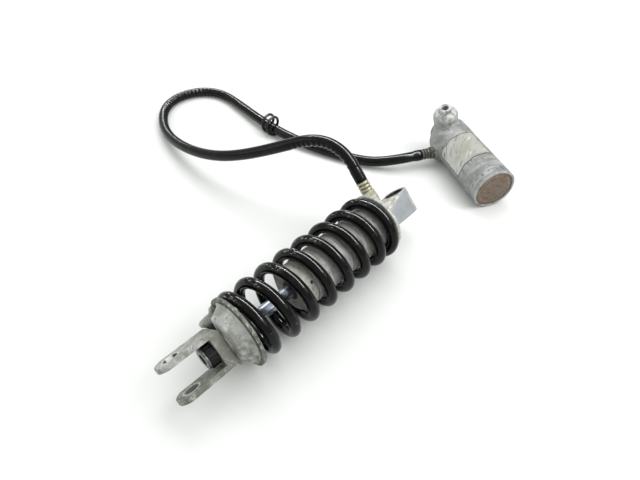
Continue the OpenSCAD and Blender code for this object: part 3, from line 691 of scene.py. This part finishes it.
# Hose and its wire tie
# A black rubber hose, 12.5 mm outside, climbs out of the head, drops to the table and runs to the reservoir.
# It wrinkles on the inside of its bends, and a coated wire is wound loosely round it.
table_level = round(cad_box[0][2], 4)
hose_radius = 0.00625
hose_clear = 0.0005
hose_sides = 32
rib_pitch = 0.005
rib_depth = 0.0010
rib_steps = 8
plain_step = 0.003
bend_reach = 6
pinch_round = 0.30
pinch_inside = 0.90
sleeve_from = 0.0065
sleeve_rise = 0.0007
straight = 2 * hose_radius
low = table_level + hose_radius + hose_clear
lead = [hose_start + k * straight * head_way for k in (-1, 0, 1, 2)]
lead += [Vector(point) for point in (
    (-0.0306, 0.0598, 0.0567), (-0.0344, 0.0758, 0.0602), (-0.041, 0.093, 0.0572), (-0.0505, 0.1115, 0.0478),
    (-0.066, 0.1385, 0.0327), (-0.086, 0.190, 0.007), (-0.092, 0.250, -0.011), (-0.087, 0.304, -0.023),
    (-0.075, 0.344, low), (-0.058, 0.3715, low), (-0.040, 0.3885, low), (-0.017, 0.396, low),
    (0.0075, 0.392, low), (0.027, 0.3765, low), (0.0365, 0.354, low), (0.036, 0.326, low),
    (0.031, 0.289, low + 0.0015), (0.0245, 0.236, low + 0.004), (0.029, 0.190, low + 0.0015),
    (0.0425, 0.142, low), (0.057, 0.102, low), (0.066, 0.084, low + 0.0025), (0.0765, 0.0705, low + 0.006))]
lead += [hose_end + k * straight * reservoir_left for k in (2, 1, 0, -1)]
# The stretches of the route that wrinkle
ribbed = (1, 2, 3, 4, 5, 9, 10, 11, 12, 13, 14, 15, 16, 17)


def route_at(i, t):
    """The smooth route a share t along stretch i, drawn to the leading points without touching them."""
    weights = ((1 - t) ** 3, 3 * t ** 3 - 6 * t * t + 4, 3 * t * t - 3 * t ** 3 + 3 * t + 1, t ** 3)
    return sum((weight * point for weight, point in zip(weights, lead[i:i + 4])), Vector()) / 6


hose_centres = []
wrinkles = []
for i in range(len(lead) - 3):
    span = (route_at(i, 1) - route_at(i, 0)).length
    ribs = int(span / rib_pitch) if i in ribbed else 0
    steps = rib_steps * ribs if ribs else max(2, round(span / plain_step))
    for j in range(steps):
        hose_centres.append(route_at(i, j / steps))
        wrinkles.append(0.5 - 0.5 * math.cos(2 * math.pi * ribs * j / steps))
hose_centres.append(hose_end)
wrinkles.append(0)
hose_radii = [hose_radius + (sleeve_rise if (centre - hose_end).length < sleeve_from else 0)
              for centre in hose_centres]
hose = tube("oil_hose", hose_centres, [upward] * len(hose_centres), hose_radii, hose_sides, bore=hose_bore)
# The wrinkles are deepest on the inside of a bend
for i, centre in enumerate(hose_centres):
    before = hose_centres[max(i - bend_reach, 0)]
    after = hose_centres[min(i + bend_reach, len(hose_centres) - 1)]
    inward = (before + after - 2 * centre).normalized()
    for point in hose.data.vertices[i * hose_sides:(i + 1) * hose_sides]:
        out = (point.co - centre).normalized()
        pinched = clipped(pinch_round + pinch_inside * out.dot(inward))
        point.co -= rib_depth * wrinkles[i] * pinched * out
hose_rubber = finish("hose_rubber", (0.0045, 0.005, 0.0046), (0.14, 0.24, 0.006), gloss=0.16,
                     patches=[patch((0.010, 0.0105, 0.0098), 0.010, 0.50, 0.70),
                              patch((0.040, 0.040, 0.037), 0.003, 0.66, 0.76)],
                     relief=[grain(0.0012, 0.00002)])
take_place(hose, "hose", "damper", hose_rubber)

# The tie hangs on this stretch of the route and stands on the table
tied = 20
tie_wire = 0.0036
tie_end = 0.8
tie_round = 0.0115
tie_height = 0.0134
tie_pitch = 0.009
tie_over = 1 / 12
tie_turns = 2 + 2 * tie_over
tie_steps = 130
tie_sides = 14
tie_way = (lead[tied + 2] - lead[tied]).normalized()
tie_side = upward.cross(tie_way).normalized()
tie_top = tie_way.cross(tie_side).normalized()
tie_middle = route_at(tied, 0)
tie_middle.z = table_level + tie_height
tie_at = [tie_turns * i / tie_steps - tie_over for i in range(tie_steps + 1)]
tie_ups = [math.sin(2 * math.pi * t) * tie_side - math.cos(2 * math.pi * t) * tie_top for t in tie_at]
tie_centres = [tie_middle + tie_round * up + (t - 1) * tie_pitch * tie_way for t, up in zip(tie_at, tie_ups)]
tie_radii = [tie_wire / 2] * len(tie_at)
tie_radii[0] = tie_radii[-1] = tie_end * tie_wire / 2
tie = tube("wire_tie", tie_centres, tie_ups, tie_radii, tie_sides)
tie_coat = finish("tie_coat", (0.006, 0.006, 0.006), (0.35, 0.50, 0.003), gloss=0.3,
                  patches=[patch((0.04, 0.04, 0.038), 0.002, 0.55, 0.72)])
take_place(tie, "hose_tie", "damper", tie_coat)

# Reservoir
# The barrel and its cast end with the boss are one aluminium piece that holds spare oil and a gas bladder.
# It is scuffed by its clamp bands, with a dull mottled skin, and a low band runs round it at the open end.
rim_band = 0.009
rim_rise = 0.00012
line_width = 0.0013
barrel_skin = 0.0245
barrel_end = (0.0835, 0.0815)
boss_foot = (0.0165, 0.0225)
mouth_depth = (0.0024, 0.0014)
reservoir_shade = (-0.012, -0.024)


def along_reservoir(place):
    return (place - reservoir_rim).dot(reservoir_axis)


def out_from_reservoir(place):
    return place - reservoir_rim - along_reservoir(place) * reservoir_axis


reservoir = softened("reservoir_casting", "reservoir", cell=0.0007, rounds=3)
# The low band at the open end
for point in reservoir.data.vertices:
    place = reservoir.matrix_world @ point.co
    out = out_from_reservoir(place)
    if along_reservoir(place) < rim_band and out.length > barrel_skin:
        point.co += rim_rise * out.normalized()
mark_places(reservoir, "barrel", lambda place: ramp(along_reservoir(place), *barrel_end))
# Painted light, lighter towards the top of the boss
mark_places(reservoir, "boss", lambda place: ramp(place.z, *boss_foot))
mark_places(reservoir, "line", lambda place: 1 - abs(along_reservoir(place) - rim_band) / line_width)
mark_places(reservoir, "mouth", lambda place: ramp(along_reservoir(place), *mouth_depth))
# Painted shade, darker towards the bottom of the reservoir
mark_places(reservoir, "under", lambda place: ramp(place.z, *reservoir_shade))
scuffed_alloy = finish("scuffed_alloy", (0.34, 0.345, 0.34), (0.44, 0.62, 0.005),
                       patches=[patch((0.25, 0.255, 0.25), 0.015, 0.44, 0.60),
                                patch((0.44, 0.445, 0.435), 0.010, 0.53, 0.67),
                                patch((0.25, 0.257, 0.26), 0.016, 0.36, 0.56, (2, 1, 1), "barrel"),
                                patch((0.42, 0.428, 0.425), 0.0070, 0.50, 0.64, (1, 5, 5), "barrel"),
                                patch((0.15, 0.15, 0.145), 0.0050, 0.58, 0.70, (6, 1, 1), "barrel"),
                                patch((0.40, 0.385, 0.33), 0.0080, 0.60, 0.72),
                                # Painted light on the top of the boss
                                patch((0.58, 0.585, 0.565), 0.0060, 0.42, 0.56, only="boss"),
                                patch((0.20, 0.195, 0.17), 0.0040, 0.58, 0.69),
                                # Painted shade towards the bottom
                                patch((0.15, 0.15, 0.135), 0.0080, 0.34, 0.60, only="under"),
                                patch((0.12, 0.115, 0.10), 0.0040, 0.40, 0.54, only="line"),
                                patch((0.40, 0.405, 0.395), 0.0060, 0.38, 0.56, only="mouth"),
                                patch((0.11, 0.105, 0.09), 0.0016, 0.65, 0.72)],
                       relief=[grain(0.0030, 0.00012), grain(0.0010, 0.00005)], metal=0.3,
                       turn=(0, 0, reservoir_turn),
                       edge=((0.54, 0.545, 0.54), 0.53, 0.59), hollow=((0.09, 0.085, 0.07), 0.48, 0.43))
take_place(reservoir, "reservoir", "damper", scuffed_alloy)
dress(scuffed_alloy, "bladder_cap")
dress(lip_rubber, "bladder", "cap_o_ring")
dress(bronze, "gas_valve")
dress(plain_steel, "snap_ring")

# End cover of the reservoir
# A pressed steel disc closes the open end and keeps stones off the gas valve.
# Its paint has gone and it is covered with brown rust.
cover_outline = ((0.0036, 0.02235), (0.0013, 0.02235), (0.0009, 0.0220), (0.0008, 0.0214), (0.0013, 0.0208),
                 (0.0015, 0.0200), (0.0014, 0.0186), (0.0011, 0.0181), (0.00105, 0.0172), (0.0012, 0.0120),
                 (0.0013, 0.0060), (0.0013, 0.0002))
cover_sides = 96
crevice = (0.0211, 0.0219)
bead_radius = 0.0183
bead_width = 0.0006
cover_points = []
for along, radius in cover_outline:
    for j in range(cover_sides):
        angle = 2 * math.pi * j / cover_sides
        side = math.cos(angle) * reservoir_left + math.sin(angle) * upward
        cover_points.append(reservoir_rim + along * reservoir_axis + radius * side)
cover_faces = faces_between(len(cover_outline), cover_sides, inward=True)
cover_faces.append(tuple(range(cover_sides)))
cover_faces.append(tuple(reversed(range(len(cover_points) - cover_sides, len(cover_points)))))
cover = shaped("cover_disc", cover_points, cover_faces)


def from_middle(place):
    return out_from_reservoir(place).length


mark_places(cover, "crevice", lambda place: ramp(from_middle(place), *crevice))
mark_places(cover, "bead", lambda place: 1 - abs(from_middle(place) - bead_radius) / bead_width)
rusty_cover = finish("rusty_cover", (0.150, 0.115, 0.080), (0.50, 0.75, 0.003),
                     patches=[patch((0.165, 0.132, 0.100), 0.009, 0.46, 0.60),
                              patch((0.19, 0.085, 0.055), 0.008, 0.52, 0.64),
                              patch((0.075, 0.058, 0.040), 0.006, 0.55, 0.68),
                              patch((0.26, 0.235, 0.20), 0.003, 0.62, 0.72),
                              patch((0.29, 0.25, 0.21), 0.010, 0.40, 0.56, only="bead"),
                              patch((0.045, 0.038, 0.030), 0.004, 0.20, 0.40, only="crevice")],
                     relief=[grain(0.0020, 0.00014)], metal=0.1)
take_place(cover, "end_cover", "damper", rusty_cover)

# Label on the barrel
# A blank paper label is glued round the barrel, and its long edges wander a little, as if cut by hand.
# It is worn and stained cream, paler on its left, with fine scratches and dark edges.
label_from = 0.0355
label_to = 0.079
label_right = math.radians(-24)
label_left = math.radians(98)
label_radius = 0.02508
paper = 0.00012
label_length = label_to - label_from
label_round = label_radius * (label_left - label_right)
label_rows = 60
label_columns = 80
dark_border = 0.0009
rim_strength = 1.6
faded_span = (0.40, 0.75)
long_wander = 0.0004
fine_wander = 0.0002
end_sway = 0.012
scratch_turn = 0.6
label_points = []
label_rim = []
label_faded = []
for i in range(label_rows + 1):
    for j in range(label_columns + 1):
        u = i / label_rows
        v = j / label_columns
        wander = long_wander * math.sin(23 * v + 5) + fine_wander * math.sin(61 * v)
        sway = end_sway * math.sin(19 * u) * (2 * v - 1)
        along = label_from + label_length * u + wander * (1 if u < 0.5 else -1)
        angle = label_right + (label_left - label_right) * v + sway
        side = math.sin(angle) * reservoir_left + math.cos(angle) * upward
        label_points.append(reservoir_rim + along * reservoir_axis + label_radius * side)
        border = min(label_length * min(u, 1 - u), label_round * min(v, 1 - v))
        label_rim.append(rim_strength - border / dark_border)
        label_faded.append(ramp(v, *faded_span))
label_faces = faces_between(label_rows + 1, label_columns + 1, closed=False, inward=True)
label = shaped("paper_label", label_points, label_faces)
mark(label, "rim", label_rim)
mark(label, "faded", label_faded)
thick = label.modifiers.new("paper", "SOLIDIFY")
thick.thickness = paper
thick.offset = 1
worn_paper = finish("worn_paper", (0.365, 0.355, 0.295), (0.55, 0.75, 0.004),
                    patches=[patch((0.40, 0.40, 0.37), 0.020, 0.44, 0.56),
                             patch((0.56, 0.565, 0.53), 0.016, 0.26, 0.44, only="faded"),
                             patch((0.33, 0.31, 0.24), 0.010, 0.56, 0.70),
                             patch((0.54, 0.54, 0.515), 0.004, 0.58, 0.68, (1, 4, 4)),
                             patch((0.28, 0.28, 0.255), 0.0022, 0.585, 0.64, (1, 9, 9)),
                             patch((0.09, 0.09, 0.082), 0.0016, 0.645, 0.675, (1, 16, 16)),
                             patch((0.05, 0.045, 0.04), 0.005, 0.32, 0.40, only="rim")],
                    relief=[grain(0.003, 0.00008)], turn=(0, scratch_turn, reservoir_turn + scratch_turn))
label.data.materials.append(worn_paper)
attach(label, "damper")

# Table, light and camera
# The shock lies on a plain white table under a broad soft light, seen from above the fork's side.
# A long thin lamp shows only as a bright line on the black spring, hose and tie.
table_half = 4
table_gap = 0.0002
table_top = table_level - table_gap
table_corners = [(x, y, table_top) for x, y in ((-table_half, -table_half), (table_half, -table_half),
                                                (table_half, table_half), (-table_half, table_half))]
table = shaped("table", table_corners, [(0, 1, 2, 3)])
table_white = finish("table_white", (0.86, 0.865, 0.86), (0.55, 0.60, 0.05))
table.data.materials.append(table_white)


def soft_light(name, place, aim, width, height, power, only=()):
    """A rectangular lamp. With only it lights just those pieces, and just in their gloss."""
    lamp = bpy.data.lights.new(name, "AREA")
    lamp.shape = "RECTANGLE"
    lamp.size = width
    lamp.size_y = height
    lamp.energy = power
    lit = bpy.data.objects.new(name, lamp)
    lit.location = place
    lit.rotation_euler = (Vector(aim) - Vector(place)).to_track_quat("-Z", "Y").to_euler()
    bpy.context.scene.collection.objects.link(lit)
    if only:
        shared = bpy.data.collections.new(name)
        for piece in only:
            shared.objects.link(piece)
        lit.light_linking.receiver_collection = shared
        lit.visible_diffuse = False


soft_light("ceiling", place=(0.4, 0.3, 1.1), aim=(0.05, 0.25, 0), width=2.4, height=0.7, power=12.5)
soft_light("light_tube", place=(0.5, 0.3, 1.0), aim=(0, 0.3, 0), width=2.8, height=0.12, power=90,
           only=(spring, hose, tie))
soft_light("window", place=(-1.1, 0.9, 0.8), aim=(0, 0.05, 0), width=0.9, height=0.9, power=3)
soft_light("fill", place=(0.5, -1.0, 1.0), aim=(0, 0, 0), width=1.0, height=1.0, power=8)
surround = bpy.data.worlds.new("surround")
surround.use_nodes = True
room = surround.node_tree.nodes["Background"]
room.inputs["Color"].default_value = (0.96, 0.99, 0.96, 1)
room.inputs["Strength"].default_value = 0.66
bpy.context.scene.world = surround
bpy.context.scene.view_settings.view_transform = "Standard"

viewpoint = Vector((-0.3298, -0.2019, 0.3467))
looking = Vector((0.4911, 0.4758, -0.7297))
lens = bpy.data.cameras.new("camera")
lens.sensor_width = 36
lens.lens = 27
camera = bpy.data.objects.new("camera", lens)
camera.location = viewpoint
camera.rotation_euler = looking.to_track_quat("-Z", "Y").to_euler()
bpy.context.scene.collection.objects.link(camera)
bpy.context.scene.camera = camera
